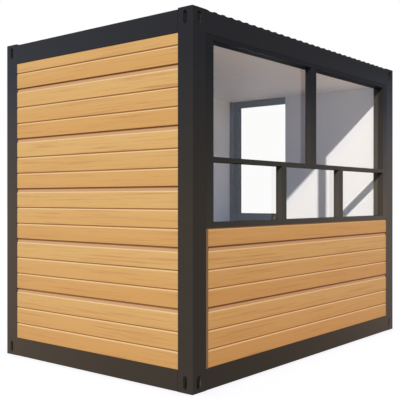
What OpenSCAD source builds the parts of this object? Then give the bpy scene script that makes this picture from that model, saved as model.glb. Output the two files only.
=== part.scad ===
// Container cabin: a welded steel frame with slotted corner fittings, three-board
// timber-look siding, a five-pane service window and a half-glazed end door.
// X runs along the long walls, the service window faces -Y, the door faces +X.
// The origin is at the middle of the base, on the ground.

/* [Overall] */
// Length of the frame over its corner fittings
body_l = 3030; // [2400:10:4200]
// Width of the frame over its corner fittings
body_w = 1970; // [1800:10:2500]
// Height of the frame over its corner fittings
body_h = 2500; // [2300:10:3000]

/* [Frame] */
// Face of a corner post on the long walls
post_x = 140; // [110:1:180]
// Face of a corner post on the end walls
post_y = 127; // [105:1:160]
// Height of the bottom rails and bottom fittings
base_h = 140; // [110:1:200]
// Height of the top rails
head_h = 150; // [110:1:200]
// How far the top fittings stand above the top rails
fitting_proud = 10; // [6:1:20]
// Rounding of the posts' and rails' long edges
edge_r = 5; // [2:0.5:8]
// Wall of a corner fitting
fitting_wall = 16; // [10:1:24]
// Height of the obround slots in the fittings' sides
slot_h = 88; // [60:1:95]
// Width of the slot on the long walls
slot_w_long = 55; // [30:1:60]
// Width of the slot on the end walls
slot_w_end = 33; // [24:1:45]
// Middle of a side slot from the fitting's outer end
slot_z = 67; // [60:1:80]
// Length of the aperture in a fitting's top or bottom
cap_slot_l = 84; // [60:1:90]
// Width of the aperture in a fitting's top or bottom
cap_slot_w = 46; // [30:1:55]

/* [Walls] */
// Wall thickness, from the frame's outer face to the room
wall_t = 100; // [80:1:140]
// Depth of the siding behind the frame's outer face
siding_recess = 6; // [4:1:15]
// Thickness of a siding panel
siding_t = 16; // [12:1:24]
// Height of one siding panel with its joint
panel_h = 400; // [300:5:500]
// Height of the sunk strip and the slot above a panel's top board
joint_h = 28; // [20:1:40]
// Width of the V-groove between two boards
groove_w = 18; // [10:1:30]
// Depth of the V-groove and of the sunk strip
groove_d = 6; // [3:0.5:10]
// Height of the slot between two panels
slot_gap = 9; // [4:0.5:12]
// Siding left behind that slot
slot_skin = 3; // [1:0.5:5]
// Bevel along a panel's foot
foot_bevel = 4; // [1:0.5:6]
// Thickness of the inner lining boards
lining_t = 14; // [8:1:20]

/* [Window] */
// Top of the sill bar
sill_z = 1099; // [800:1:1400]
// Height of the sill bar
sill_h = 35; // [30:1:80]
// Height of the head bar
window_head_h = 30; // [20:1:90]
// Width of the side bars
jamb_w = 78; // [40:1:100]
// Middle of the transom above the sill bar
transom_rise = 422; // [300:1:600]
// Height of the transom
transom_h = 32; // [25:1:60]
// Face of the upper mullion
mullion_upper_w = 81; // [40:1:100]
// Face of the lower mullions
mullion_lower_w = 63; // [40:1:100]
// Depth of the transom and mullions
bar_d = 56; // [40:1:70]
// Thickness of the window and door glass
glass_t = 6; // [4:1:12]
// Depth of the glass behind the frame's outer face
glass_setback = 47; // [20:1:60]
// Panes in the upper row
upper_panes = 2; // [1:1:4]
// Panes in the lower row
lower_panes = 3; // [1:1:5]
// How much narrower the upper row's last pane is
upper_last_less = 18; // [0:1:80]
// How much narrower the lower row's last pane is
lower_last_less = 43; // [0:1:80]

/* [Door] */
// Width of the door opening, from the corner post
door_w = 762; // [640:1:930]
// Width of the door frame's side bars
door_jamb_w = 15; // [15:1:30]
// Height of the door frame's head bar
door_head_h = 15; // [10:1:30]
// Height of the threshold above the floor
threshold_h = 8; // [4:1:15]
// Running gap round the door leaf
door_gap = 5; // [5:0.5:8]
// Thickness of the door leaf
leaf_t = 40; // [34:1:48]
// Width of the leaf's hinge stile
stile_w = 42; // [40:1:90]
// Width of the leaf's lock stile
lock_stile_w = 73; // [50:1:90]
// Height of the leaf's top rail
leaf_top_h = 46; // [40:1:90]
// Height of the leaf's middle rail
leaf_mid_h = 120; // [80:1:160]
// Height of the leaf's bottom rail
leaf_bottom_h = 110; // [80:1:160]
// Underside of the door glass above the ground
door_glass_z = 1097; // [900:1:1300]
// Thickness of the leaf's lower panel
kick_panel_t = 20; // [10:1:30]
// How far the right wall's lining laps past the edge of the door opening
lining_lap = 84; // [40:1:90]
// Thickness of the door frame's stop
stop_t = 10; // [6:1:12]
// How far the stop laps over the leaf
stop_lap = 12; // [8:1:20]
// Radius of a hinge knuckle
knuckle_r = 7; // [6:0.5:9]
// Radius of a hinge pin
pin_r = 4; // [3:0.5:5]
// Length of one hinge
hinge_h = 100; // [80:1:140]
// Width of a hinge plate on the leaf
hinge_plate_w = 32; // [20:1:40]
// Lever's rose from the leaf's free edge
handle_inset = 98; // [80:1:120]
// Length of the lever
lever_l = 115; // [90:1:140]
// Radius of the lever's round bar
lever_r = 8; // [6:0.5:9]

/* [Floor and roof] */
// Thickness of the floor boarding
deck_t = 20; // [12:1:30]
// Height of a floor joist
joist_h = 80; // [60:1:90]
// Width of a floor joist or roof bow
cross_w = 50; // [40:1:80]
// Number of floor joists
joists = 7; // [4:1:10]
// Number of roof bows
bows = 5; // [3:1:8]
// Thickness of the ceiling panel
ceiling_t = 60; // [40:1:80]
// Width of one ceiling board
ceiling_board_w = 200; // [100:5:300]
// Width of the V-joint between two ceiling boards
ceiling_joint_w = 8; // [4:0.5:12]
// Depth of that joint
ceiling_joint_d = 3; // [1:0.5:5]
// Pitch of the roof sheet's corrugations
wave_pitch = 91; // [60:1:150]
// Width of a crest
crest_w = 26; // [16:1:30]
// Width of a trough
trough_w = 22; // [14:1:26]
// Thickness of the roof sheet
sheet_t = 1.5; // [1:0.1:3]
// How far the roof sheet ends inside the frame's faces
sheet_inset = 3; // [1:1:10]

/* [Hidden] */
$fn = 48;

STEEL = "#34373c";
SIDING = "#dcb06c";
CORE = "#e6e2da";
LINING = "#f1f0ee";
GLASS = "#b9cdd6";
METAL = "#b4b6b8";

// Outer faces, and the clear lengths between the corner posts
x_out = body_l / 2;
y_out = body_w / 2;
clear_x = body_l - 2 * post_x;
clear_y = body_w - 2 * post_y;
wall_top = body_h - fitting_proud - head_h;
top_fitting_h = head_h + fitting_proud;
wall_h = wall_top - base_h;
core_in = siding_recess + siding_t;
core_out = wall_t - lining_t;
room_x = x_out - wall_t;
room_y = y_out - wall_t;

// Boards in a siding panel, their pitch with the slot counted in the first, and its depth
boards = 3;
board_h = (panel_h - joint_h + slot_gap) / boards;
slot_gap_d = siding_t - slot_skin;

// Height of the front wall under the window, and of the window above it
apron_h = sill_z - sill_h - base_h;
window_h = wall_top - sill_z + sill_h;
light_w = clear_x - 2 * jamb_w;
light_h = window_h - sill_h - window_head_h;
transom_z = sill_z + transom_rise;

// Door opening between the right wall's edge and the back corner post
door_y1 = y_out - post_y;
door_y0 = door_y1 - door_w;
leaf_y0 = door_y0 + door_jamb_w + door_gap;
leaf_y1 = door_y1 - door_jamb_w - door_gap;
leaf_z0 = base_h + threshold_h + door_gap;
leaf_z1 = wall_top - door_head_h - door_gap;
leaf_x0 = room_x + lining_t + door_gap;
leaf_x1 = leaf_x0 + leaf_t;
lining_x = room_x + lining_t;

// Play at the hinges
knuckle_clear = 0.5;
pin_clear = 0.1;
knuckle_gap = 1;

// The hinge axis stands clear of the leaf's outer face, over the running gap
axis_x = leaf_x1 + knuckle_clear + knuckle_r;
axis_y = leaf_y1 + door_gap / 2;
hinge_inset = 180;
hinge_spots = [leaf_z0 + hinge_inset, (leaf_z0 + leaf_z1) / 2, leaf_z1 - hinge_inset];
hinge_plate_t = 3;

// Lever handle on the middle rail
handle_z = door_glass_z - leaf_mid_h / 2;
rose_r = 26;
rose_t = 8;
lever_out = 30;
lever_bend_r = 12;

// Overlap that makes a cut pass cleanly through a face
CUT = 1;

// Bar whose section has rounded corners, its length along Z, standing on z = 0
module rounded_bar(size, r) {
    linear_extrude(size.z) {
        difference() {
            square([size.x, size.y], center = true);
            for (sx = [-1, 1], sy = [-1, 1])
                translate([sx * size.x / 2, sy * size.y / 2])
                    corner_cut(sx, sy, r);
        }
    }
}

// What a rounded corner takes off a square one
module corner_cut(sx, sy, r) {
    difference() {
        square(2 * r, center = true);
        translate([-sx * r, -sy * r])
            circle(r);
        translate([-sx * 2 * r, 0])
            square([2 * r, 4 * r], center = true);
        translate([0, -sy * 2 * r])
            square([4 * r, 2 * r], center = true);
    }
}

// Box given by its two opposite corners
module box(a, b) {
    translate(a)
        cube(b - a);
}

// Horizontal bar along X or Y between two opposite corners
module rail_x(a, b) {
    translate([a.x, (a.y + b.y) / 2, (a.z + b.z) / 2])
        rotate([90, 0, 90])
            rounded_bar([b.y - a.y, b.z - a.z, b.x - a.x], edge_r);
}

module rail_y(a, b) {
    translate([(a.x + b.x) / 2, b.y, (a.z + b.z) / 2])
        rotate([90, 0, 0])
            rounded_bar([b.x - a.x, b.z - a.z, b.y - a.y], edge_r);
}

// Obround of the given width and overall height, pierced along Z
module obround(w, h, depth) {
    linear_extrude(depth) {
        square([w, h - w], center = true);
        for (s = [-1, 1])
            translate([0, s * (h - w) / 2])
                circle(w / 2);
    }
}

// Frame ------------------------------------------------------------------

module long_rail(side, z0, z1) {
    y0 = side < 0 ? -y_out : y_out - wall_t;
    color(STEEL)
        rail_x([-clear_x / 2, y0, z0], [clear_x / 2, y0 + wall_t, z1]);
}

module end_rail(side, z0, z1) {
    x0 = side < 0 ? -x_out : x_out - wall_t;
    color(STEEL)
        rail_y([x0, -clear_y / 2, z0], [x0 + wall_t, clear_y / 2, z1]);
}

module corner_post(sx, sy) {
    color(STEEL)
        translate([sx * (x_out - post_x / 2), sy * (y_out - post_y / 2), base_h])
            rounded_bar([post_x, post_y, wall_h], edge_r);
}

// Hollow corner fitting with its outer end down and its outer faces to -X and -Y
module fitting(h) {
    difference() {
        rounded_bar([post_x, post_y, h], edge_r);
        translate([0, 0, h / 2])
            cube([post_x - 2 * fitting_wall, post_y - 2 * fitting_wall, h - 2 * fitting_wall],
                center = true);
        translate([0, -post_y / 2 + fitting_wall + CUT, slot_z])
            rotate([90, 0, 0])
                obround(slot_w_long, slot_h, fitting_wall + 2 * CUT);
        translate([-post_x / 2 - CUT, 0, slot_z])
            rotate([90, 0, 90])
                obround(slot_w_end, slot_h, fitting_wall + 2 * CUT);
        translate([0, 0, -CUT])
            rotate(90)
                obround(cap_slot_w, cap_slot_l, fitting_wall + 2 * CUT);
    }
}

module corner_fitting(sx, sy, top) {
    h = top ? top_fitting_h : base_h;
    color(STEEL)
        translate([sx * (x_out - post_x / 2), sy * (y_out - post_y / 2), top ? body_h : 0])
            mirrored(-sx, -sy, top ? -1 : 1)
                fitting(h);
}

// Mirrors its children across each plane whose sign is negative
module mirrored(sx, sy, sz) {
    mirror([sx < 0 ? 1 : 0, 0, 0])
        mirror([0, sy < 0 ? 1 : 0, 0])
            mirror([0, 0, sz < 0 ? 1 : 0])
                children();
}

// Floor and roof ---------------------------------------------------------

module floor_joists() {
    step = 2 * room_x / joists;
    z1 = base_h - deck_t;
    color(STEEL)
        for (i = [0 : joists - 1])
            translate([-room_x + (i + 0.5) * step - cross_w / 2, -room_y, z1 - joist_h])
                cube([cross_w, 2 * room_y, joist_h]);
}

// The deck is notched round the corner fittings, which reach inside the rails
module floor_deck() {
    color("#a98c6a")
        notched_slab(base_h - deck_t, base_h);
}

// Board joints run along the underside, the middle board centred in the room
module ceiling_panel() {
    side_joints = floor((room_y / ceiling_board_w) - 0.5);
    color(LINING)
        difference() {
            notched_slab(wall_top, wall_top + ceiling_t);
            for (i = [-side_joints - 1 : side_joints])
                translate([-room_x - CUT, (i + 0.5) * ceiling_board_w, wall_top])
                    rotate([90, 0, 90])
                        linear_extrude(2 * (room_x + CUT))
                            polygon([
                                [-ceiling_joint_w / 2, 0], [0, ceiling_joint_d],
                                [ceiling_joint_w / 2, 0], [0, -ceiling_joint_d]
                            ]);
        }
}

module notched_slab(z0, z1) {
    difference() {
        box([-room_x, -room_y, z0], [room_x, room_y, z1]);
        for (sx = [-1, 1], sy = [-1, 1])
            translate([sx * x_out, sy * y_out, (z0 + z1) / 2])
                cube([2 * post_x, 2 * post_y, z1 - z0 + 2 * CUT], center = true);
    }
}

module roof_bows() {
    step = 2 * room_x / bows;
    z0 = wall_top + ceiling_t;
    z1 = wall_top + head_h;
    color(STEEL)
        for (i = [0 : bows - 1])
            translate([-room_x + (i + 0.5) * step - cross_w / 2, -room_y, z0])
                cube([cross_w, 2 * room_y, z1 - z0]);
}

// Corrugated sheet: flat troughs and crests joined by sloping webs, notched for the fittings
module roof_sheet() {
    sheet_l = body_l - 2 * sheet_inset;
    sheet_w = body_w - 2 * sheet_inset;
    waves = floor(sheet_l / wave_pitch);
    first = -waves * wave_pitch / 2;
    rise = fitting_proud - sheet_t;
    wave = [
        [trough_w / 2, 0], [(wave_pitch - crest_w) / 2, rise],
        [(wave_pitch + crest_w) / 2, rise], [wave_pitch - trough_w / 2, 0]
    ];
    notch_gap = 1;
    line = concat(
        [[-sheet_l / 2, 0]],
        [for (i = [0 : waves - 1], p = wave) [first + i * wave_pitch + p.x, p.y]],
        [[sheet_l / 2, 0]]
    );
    back = [for (i = [len(line) - 1 : -1 : 0]) [line[i].x, line[i].y + sheet_t]];
    color("#3d4045")
        difference() {
            translate([0, sheet_w / 2, wall_top + head_h])
                rotate([90, 0, 0])
                    linear_extrude(sheet_w)
                        polygon(concat(line, back));
            for (sx = [-1, 1], sy = [-1, 1])
                translate([sx * x_out, sy * y_out, body_h])
                    cube([2 * (post_x + notch_gap), 2 * (post_y + notch_gap), 4 * fitting_proud],
                        center = true);
        }
}

// Walls ------------------------------------------------------------------

// Points of the siding's face from the foot up: x is the depth cut off, z a height
function groove_points(z) = [
    [0, z - groove_w / 2], [groove_d, z], [0, z + groove_w / 2]
];

// A panel: its boards, then half a groove, the sunk strip and the slot over it
function panel_points(z) = concat(
    [[foot_bevel, z], [0, z + foot_bevel]],
    [for (b = [1 : boards - 1], p = groove_points(z + b * board_h - slot_gap)) p],
    [
        [0, z + panel_h - joint_h - groove_w / 2],
        [groove_d, z + panel_h - joint_h],
        [groove_d, z + panel_h - slot_gap],
        [slot_gap_d, z + panel_h - slot_gap],
        [slot_gap_d, z + panel_h]
    ]
);

// Siding of a given length and height, its foot at z = 0, its face at y = 0, towards -Y
module siding(l, h) {
    panels = ceil(h / panel_h);
    face = [for (i = [0 : panels - 1], p = panel_points(i * panel_h)) p];
    top = panels * panel_h;
    color(SIDING)
        translate([-l / 2, 0, 0])
            rotate([90, 0, 90])
                linear_extrude(l)
                    intersection() {
                        polygon(concat(face, [[siding_t, top], [siding_t, 0]]));
                        square([siding_t, h]);
                    }
}

module lining_slab(a, b) {
    color(LINING)
        box(a, b);
}

module core_slab(a, b) {
    color(CORE)
        box(a, b);
}

module left_wall_core() {
    core_slab([-x_out + core_in, -clear_y / 2, base_h], [-x_out + core_out, clear_y / 2, wall_top]);
}

module left_wall_siding() {
    translate([-x_out + siding_recess, 0, base_h])
        rotate(-90)
            siding(clear_y, wall_h);
}

module left_wall_lining() {
    lining_slab([-x_out + core_out, -clear_y / 2, base_h], [-room_x, clear_y / 2, wall_top]);
}

module back_wall_core() {
    core_slab([-clear_x / 2, y_out - core_out, base_h], [clear_x / 2, y_out - core_in, wall_top]);
}

module back_wall_siding() {
    translate([0, y_out - siding_recess, base_h])
        rotate(180)
            siding(clear_x, wall_h);
}

module back_wall_lining() {
    lining_slab([-clear_x / 2, room_y, base_h], [clear_x / 2, y_out - core_out, wall_top]);
}

module right_wall_core() {
    core_slab([x_out - core_out, -clear_y / 2, base_h], [x_out - core_in, door_y0, wall_top]);
}

module right_wall_siding() {
    l = door_y0 + clear_y / 2;
    translate([x_out - siding_recess, (door_y0 - clear_y / 2) / 2, base_h])
        rotate(90)
            siding(l, wall_h);
}

// The lining laps the door's free edge and stops the leaf
module right_wall_lining() {
    lining_slab([room_x, -clear_y / 2, base_h], [lining_x, door_y0 + lining_lap, wall_top]);
}

module front_wall_core() {
    core_slab([-clear_x / 2, -y_out + core_in, base_h],
        [clear_x / 2, -y_out + core_out, base_h + apron_h]);
}

module front_wall_siding() {
    translate([0, -y_out + siding_recess, base_h])
        siding(clear_x, apron_h);
}

module front_wall_lining() {
    lining_slab([-clear_x / 2, -y_out + core_out, base_h],
        [clear_x / 2, -room_y, base_h + apron_h]);
}

// Window -----------------------------------------------------------------

// Left edge of a pane in a row of n between mullions w wide, the last pane less wide
function pane_x(n, w, less, i) = -light_w / 2 + i * (light_w + less + w) / n;

module mullions(n, w, less, z0, z1) {
    for (i = [1 : 1 : n - 1]) {
        x = pane_x(n, w, less, i);
        box([x - w, -y_out, z0], [x, -y_out + bar_d, z1]);
    }
}

module window_frame() {
    z0 = sill_z - sill_h;
    color(STEEL) {
        difference() {
            box([-clear_x / 2, -y_out, z0], [clear_x / 2, -room_y, wall_top]);
            box([-light_w / 2, -y_out - CUT, sill_z],
                [light_w / 2, -room_y + CUT, sill_z + light_h]);
        }
        box([-light_w / 2, -y_out, transom_z - transom_h / 2],
            [light_w / 2, -y_out + bar_d, transom_z + transom_h / 2]);
        mullions(lower_panes, mullion_lower_w, lower_last_less, sill_z, transom_z);
        mullions(upper_panes, mullion_upper_w, upper_last_less, transom_z, sill_z + light_h);
    }
}

// Row of panes between the mullions, one for each light
module pane_row(n, w, less, z0, z1) {
    y0 = -y_out + glass_setback;
    for (i = [0 : n - 1])
        box([pane_x(n, w, less, i), y0, z0],
            [i == n - 1 ? light_w / 2 : pane_x(n, w, less, i + 1) - w, y0 + glass_t, z1]);
}

module window_glass() {
    color(GLASS, 0.4) {
        pane_row(lower_panes, mullion_lower_w, lower_last_less, sill_z, transom_z - transom_h / 2);
        pane_row(upper_panes, mullion_upper_w, upper_last_less, transom_z + transom_h / 2,
            sill_z + light_h);
    }
}

// Door -------------------------------------------------------------------

// Each hinge has three knuckles: the frame carries the outer two and the pin,
// and the leaf carries the middle one. A share is the knuckle's part of the length.
module knuckle(z, share, at) {
    translate([axis_x, axis_y, z + at * hinge_h])
        cylinder(r = knuckle_r, h = share * hinge_h, center = true);
}

// Plate from the knuckle onto the face behind it, reaching from the axis to y
module hinge_plate(z, share, at, y) {
    h = share * hinge_h;
    box([leaf_x1, min(axis_y, y), z + at * hinge_h - h / 2],
        [leaf_x1 + hinge_plate_t, max(axis_y, y), z + at * hinge_h + h / 2]);
}

module frame_hinge(z) {
    for (at = [-1, 1] / 3) {
        knuckle(z, 1 / 3, at);
        hinge_plate(z, 1 / 3, at, door_y1);
    }
    translate([axis_x, axis_y, z])
        cylinder(r = pin_r, h = hinge_h / 2, center = true);
}

module leaf_hinge(z) {
    share = 1 / 3 - 2 * knuckle_gap / hinge_h;
    difference() {
        union() {
            knuckle(z, share, 0);
            hinge_plate(z, share, 0, leaf_y1 - hinge_plate_w);
        }
        translate([axis_x, axis_y, z])
            cylinder(r = pin_r + pin_clear, h = hinge_h, center = true);
    }
}

// Casing round the opening, cut back beside the knuckles, with a stop behind the leaf
module door_frame() {
    y_lap = door_y0 + lining_lap;
    color(STEEL) {
        difference() {
            box([lining_x, door_y0, base_h], [x_out - siding_recess, door_y1, wall_top]);
            box([lining_x - CUT, door_y0 + door_jamb_w, base_h + threshold_h],
                [x_out, door_y1 - door_jamb_w, wall_top - door_head_h]);
            box([leaf_x1, door_y0 + door_jamb_w, base_h + threshold_h],
                [x_out, door_y1 + CUT, wall_top - door_head_h]);
        }
        difference() {
            box([lining_x - stop_t, y_lap, base_h], [lining_x, door_y1, wall_top]);
            box([room_x, y_lap - CUT, base_h - CUT],
                [x_out, leaf_y1 - stop_lap, leaf_z1 - stop_lap]);
        }
        for (z = hinge_spots)
            frame_hinge(z);
    }
}

module door_leaf() {
    color(STEEL) {
        difference() {
            box([leaf_x0, leaf_y0, leaf_z0], [leaf_x1, leaf_y1, leaf_z1]);
            box([leaf_x0 - CUT, leaf_y0 + lock_stile_w, door_glass_z],
                [leaf_x1 + CUT, leaf_y1 - stile_w, leaf_z1 - leaf_top_h]);
            box([leaf_x0 - CUT, leaf_y0 + lock_stile_w, leaf_z0 + leaf_bottom_h],
                [leaf_x1 + CUT, leaf_y1 - stile_w, door_glass_z - leaf_mid_h]);
        }
        for (z = hinge_spots)
            leaf_hinge(z);
    }
}

module door_glass() {
    x0 = leaf_x0 + (leaf_t - glass_t) / 2;
    color(GLASS, 0.4)
        box([x0, leaf_y0 + lock_stile_w, door_glass_z],
            [x0 + glass_t, leaf_y1 - stile_w, leaf_z1 - leaf_top_h]);
}

module door_kick_panel() {
    x0 = leaf_x0 + (leaf_t - kick_panel_t) / 2;
    color(STEEL)
        box([x0, leaf_y0 + lock_stile_w, leaf_z0 + leaf_bottom_h],
            [x0 + kick_panel_t, leaf_y1 - stile_w, door_glass_z - leaf_mid_h]);
}

// Rose and round bar that stands out along +Z and bends over to +X, its tip rounded
module lever_handle() {
    neck = lever_out - lever_r - lever_bend_r;
    cylinder(r = rose_r, h = rose_t);
    cylinder(r = lever_r, h = neck);
    translate([lever_bend_r, 0, neck])
        rotate([90, 0, 0])
            rotate(90)
                rotate_extrude(angle = 90)
                    translate([lever_bend_r, 0])
                        circle(lever_r);
    translate([lever_bend_r, 0, neck + lever_bend_r])
        rotate([0, 90, 0])
            round_bar(lever_r, lever_l - lever_bend_r);
}

// Round bar along Z from z = 0, with its far end's edge rounded
module round_bar(r, l) {
    tip_r = r / 2;
    rotate_extrude() {
        square([r, l - tip_r]);
        square([r - tip_r, l]);
        translate([r - tip_r, l - tip_r])
            circle(tip_r);
    }
}

// One lever on each side of the leaf, both pointing to the hinges
module door_handle() {
    color(METAL)
        for (side = [0, 1])
            translate([side ? leaf_x1 : leaf_x0, leaf_y0 + handle_inset, handle_z])
                rotate([90, 0, 90])
                    mirror([0, 0, 1 - side])
                        lever_handle();
}

long_rail(-1, 0, base_h);  // bottom_rail_front
long_rail(1, 0, base_h);  // bottom_rail_back
end_rail(-1, 0, base_h);  // bottom_rail_left
end_rail(1, 0, base_h);  // bottom_rail_right
long_rail(-1, wall_top, wall_top + head_h);  // top_rail_front
long_rail(1, wall_top, wall_top + head_h);  // top_rail_back
end_rail(-1, wall_top, wall_top + head_h);  // top_rail_left
end_rail(1, wall_top, wall_top + head_h);  // top_rail_right
corner_post(-1, -1);  // post_front_left
corner_post(1, -1);  // post_front_right
corner_post(-1, 1);  // post_back_left
corner_post(1, 1);  // post_back_right
corner_fitting(-1, -1, false);  // fitting_bottom_front_left
corner_fitting(1, -1, false);  // fitting_bottom_front_right
corner_fitting(-1, 1, false);  // fitting_bottom_back_left
corner_fitting(1, 1, false);  // fitting_bottom_back_right
corner_fitting(-1, -1, true);  // fitting_top_front_left
corner_fitting(1, -1, true);  // fitting_top_front_right
corner_fitting(-1, 1, true);  // fitting_top_back_left
corner_fitting(1, 1, true);  // fitting_top_back_right
floor_joists();
floor_deck();
ceiling_panel();
roof_bows();
roof_sheet();
left_wall_core();
left_wall_siding();
left_wall_lining();
back_wall_core();
back_wall_siding();
back_wall_lining();
right_wall_core();
right_wall_siding();
right_wall_lining();
front_wall_core();
front_wall_siding();
front_wall_lining();
window_frame();
window_glass();
door_frame();
door_leaf();
door_glass();
door_kick_panel();
door_handle();
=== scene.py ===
import math

import bpy
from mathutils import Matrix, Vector


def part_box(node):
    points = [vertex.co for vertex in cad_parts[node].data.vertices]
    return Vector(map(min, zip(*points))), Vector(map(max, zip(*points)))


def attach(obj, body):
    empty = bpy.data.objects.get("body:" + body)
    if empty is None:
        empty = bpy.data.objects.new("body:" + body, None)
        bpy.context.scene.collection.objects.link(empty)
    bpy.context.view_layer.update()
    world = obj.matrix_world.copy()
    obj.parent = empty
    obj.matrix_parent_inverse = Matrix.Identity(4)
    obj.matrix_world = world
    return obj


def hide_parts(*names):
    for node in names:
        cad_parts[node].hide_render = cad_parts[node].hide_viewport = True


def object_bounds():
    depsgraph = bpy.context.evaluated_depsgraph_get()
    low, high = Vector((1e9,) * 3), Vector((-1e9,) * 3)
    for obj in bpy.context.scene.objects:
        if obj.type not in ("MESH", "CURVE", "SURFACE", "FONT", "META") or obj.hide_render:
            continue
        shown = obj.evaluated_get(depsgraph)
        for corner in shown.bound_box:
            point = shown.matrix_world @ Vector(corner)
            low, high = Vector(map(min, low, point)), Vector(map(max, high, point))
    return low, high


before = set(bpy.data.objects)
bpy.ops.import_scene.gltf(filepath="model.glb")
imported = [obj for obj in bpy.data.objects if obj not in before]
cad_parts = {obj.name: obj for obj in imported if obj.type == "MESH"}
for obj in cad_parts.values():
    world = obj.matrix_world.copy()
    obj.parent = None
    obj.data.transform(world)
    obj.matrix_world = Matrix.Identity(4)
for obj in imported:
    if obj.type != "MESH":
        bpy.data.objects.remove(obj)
cad_box = [list(corner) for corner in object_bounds()]
bpy.ops.object.select_all(action="DESELECT")


# Camera ---------------------------------------------------------------------------
# It stands off the corner between the clad end wall and the window wall, at about
# half the cabin's height, and looks along the diagonal with a slightly long lens.
CAMERA_PLACE = (-5.007, -3.9006, 1.2561)
CAMERA_TURN = -50.745
CAMERA_TILT = 89.924
CAMERA_LENS = 63.99
SENSOR_WIDTH = 36

bpy.ops.object.camera_add(
    location=CAMERA_PLACE,
    rotation=(math.radians(CAMERA_TILT), 0, math.radians(CAMERA_TURN)),
)
camera = bpy.context.object
camera.data.lens = CAMERA_LENS
camera.data.sensor_width = SENSOR_WIDTH
bpy.context.scene.camera = camera
bpy.context.scene.view_settings.view_transform = "Standard"


# Studio ---------------------------------------------------------------------------
# A plain pale floor that keeps the cabin's shadow, a white surround, a low sun from
# the front left and the soft light of the surround.
FLOOR_SIZE = 90
FLOOR_DROP = 0.0005
SUN_TRAVEL = (0.829, 0.410, -0.381)
SUN_POWER = 3.18
SUN_ANGLE = 1.0
SUN_COLOUR = (1.0, 0.955, 0.89)
# The surround and the floor light the cabin in these colours, and are seen as white
SURROUND_LIGHT = 0.375
SURROUND_COLOUR = (0.72, 0.88, 1.22, 1)
FLOOR_COLOUR = (0.92, 0.68, 0.40, 1)
FLOOR_SEEN_COLOUR = (0.90, 0.90, 0.90, 1)
FLOOR_LIFT = 0.42
WHITE = (1, 1, 1, 1)


class Wire:
    """An output of a node tree. Arithmetic on it adds Math nodes, node() adds any other."""

    def __init__(self, tree, socket=None):
        self.tree = tree
        self.socket = socket

    def node(self, kind, settings=None, inputs=None, output=0):
        """Adds a node, makes its settings, then sets or links its inputs."""
        made = self.tree.nodes.new("ShaderNode" + kind)
        for name, value in (settings or {}).items():
            setattr(made, name, value)
        for name, value in (inputs or {}).items():
            if isinstance(value, Wire):
                self.tree.links.new(value.socket, made.inputs[name])
            else:
                made.inputs[name].default_value = value
        return Wire(self.tree, made.outputs[output] if made.outputs else None)

    def other(self, name):
        """Another output of the same node."""
        return Wire(self.tree, self.socket.node.outputs[name])

    def math(self, operation, first, second=0.0):
        return self.node("Math", {"operation": operation}, {0: first, 1: second})

    def __add__(self, value):
        return self.math("ADD", self, value)

    def __sub__(self, value):
        return self.math("SUBTRACT", self, value)

    def __rsub__(self, value):
        return self.math("SUBTRACT", value, self)

    def __mul__(self, value):
        return self.math("MULTIPLY", self, value)

    def __truediv__(self, value):
        return self.math("DIVIDE", self, value)

    def __gt__(self, value):
        return self.math("GREATER_THAN", self, value)

    def __lt__(self, value):
        return self.math("LESS_THAN", self, value)

    def __abs__(self):
        return self.math("ABSOLUTE", self)

    __radd__ = __add__
    __rmul__ = __mul__

    def floor(self):
        return self.math("FLOOR", self)

    def most(self, value):
        return self.math("MAXIMUM", self, value)

    def least(self, value):
        return self.math("MINIMUM", self, value)

    def held(self):
        """The value kept between 0 and 1."""
        return self.most(0.0).least(1.0)

    def past(self, start, gain):
        """How far the value is past a start, times a gain, kept between 0 and 1."""
        return ((self - start) * gain).held()

    def swing(self, amount):
        """How far the value is from its middle, 0.5, times an amount."""
        return (self - 0.5) * amount

    def between(self, low, high):
        """A value that is low where this is 0 and high where it is 1."""
        return self * (high - low) + low

    def blend(self, first, second):
        """The first colour where this is 0, the second where it is 1."""
        settings = {"data_type": "RGBA"}
        return self.node("Mix", settings, {0: self, 6: first, 7: second}, output=2)

    def tone(self):
        """A value of its own for each number, between 0 and 1."""
        return self.node("TexWhiteNoise", {"noise_dimensions": "1D"}, {"W": self})

    def vector(self, x, y, z):
        return self.node("CombineXYZ", inputs={0: x, 1: y, 2: z})

    def axes(self):
        """The three parts of a vector."""
        split = self.node("SeparateXYZ", inputs={0: self}, output="X")
        return split, split.other("Y"), split.other("Z")

    def scaled(self, x, y, z):
        """A vector stretched along each axis."""
        return self.node("VectorMath", {"operation": "MULTIPLY"}, {0: self, 1: (x, y, z)})

    def noise(self, scale, detail=3.0, roughness=0.5):
        """Cloudy noise over a place, finer as its scale grows."""
        inputs = {"Vector": self, "Scale": scale, "Detail": detail, "Roughness": roughness}
        return self.node("TexNoise", inputs=inputs)

    def grain(self, scales, detail=3.0, roughness=0.5):
        """Noise over a place with a scale for each axis, so that it runs in lines."""
        return self.scaled(*scales).noise(1.0, detail, roughness)

    def cells(self, scale):
        """Distance from the middle of the cell that a place is in."""
        return self.node("TexVoronoi", inputs={"Vector": self, "Scale": scale})

    def bump(self, depth, strength):
        """The normal of a surface that this raises and lowers, by a depth in metres."""
        inputs = {"Height": self, "Distance": depth, "Strength": strength}
        return self.node("Bump", inputs=inputs)

    def surface(self, inputs):
        """Ends a node tree in one shader with these inputs."""
        skin = self.node("BsdfPrincipled", inputs=inputs)
        self.node("OutputMaterial", inputs={"Surface": skin})


def new_material(name):
    """An empty material and the start of its node tree."""
    made = bpy.data.materials.new(name)
    made.use_nodes = True
    made.node_tree.nodes.clear()
    return made, Wire(made.node_tree)


def seen_directly(start):
    """1 for rays from the camera and for those in a mirror or through glass."""
    path = start.node("LightPath", output="Is Camera Ray")
    return path.most(path.other("Is Glossy Ray")).most(path.other("Is Transmission Ray"))


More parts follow.
